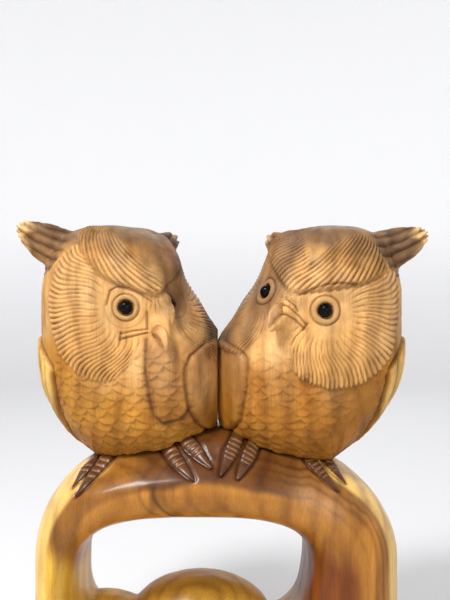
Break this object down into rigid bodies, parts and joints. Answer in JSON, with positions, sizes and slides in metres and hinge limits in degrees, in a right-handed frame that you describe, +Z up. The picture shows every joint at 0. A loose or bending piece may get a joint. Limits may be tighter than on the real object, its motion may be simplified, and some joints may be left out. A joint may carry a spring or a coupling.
{
  "type": "owl pair figurine",
  "caption": "Carved wooden figurine of two horned owls perched side by side on a smooth arch, faces turned towards each other, with black glass bead eyes.",
  "frame": {"origin": "middle of the figurine's outline seen from above, on the surface it stands on", "axes": "+Z up, +X to the right of somebody who looks at the owls' faces, +Y to the rear, away from the faces"},
  "size_m": [0.277, 0.1152, 0.3004],
  "materials": {
    "arch_wood": "polished two-tone hardwood, brown heartwood with yellow sapwood at the rim",
    "owl_wood": "waxed carved hardwood",
    "eye_glass": "opaque glossy black bead"
  },
  "bodies": {
    "root": {"arch_perch": "arch_wood", "right_owl": "owl_wood", "left_owl": "owl_wood", "right_owl_inner_eye": "eye_glass", "left_owl_inner_eye": "eye_glass", "right_owl_outer_eye": "eye_glass", "left_owl_outer_eye": "eye_glass"}
  },
  "joints": []
}
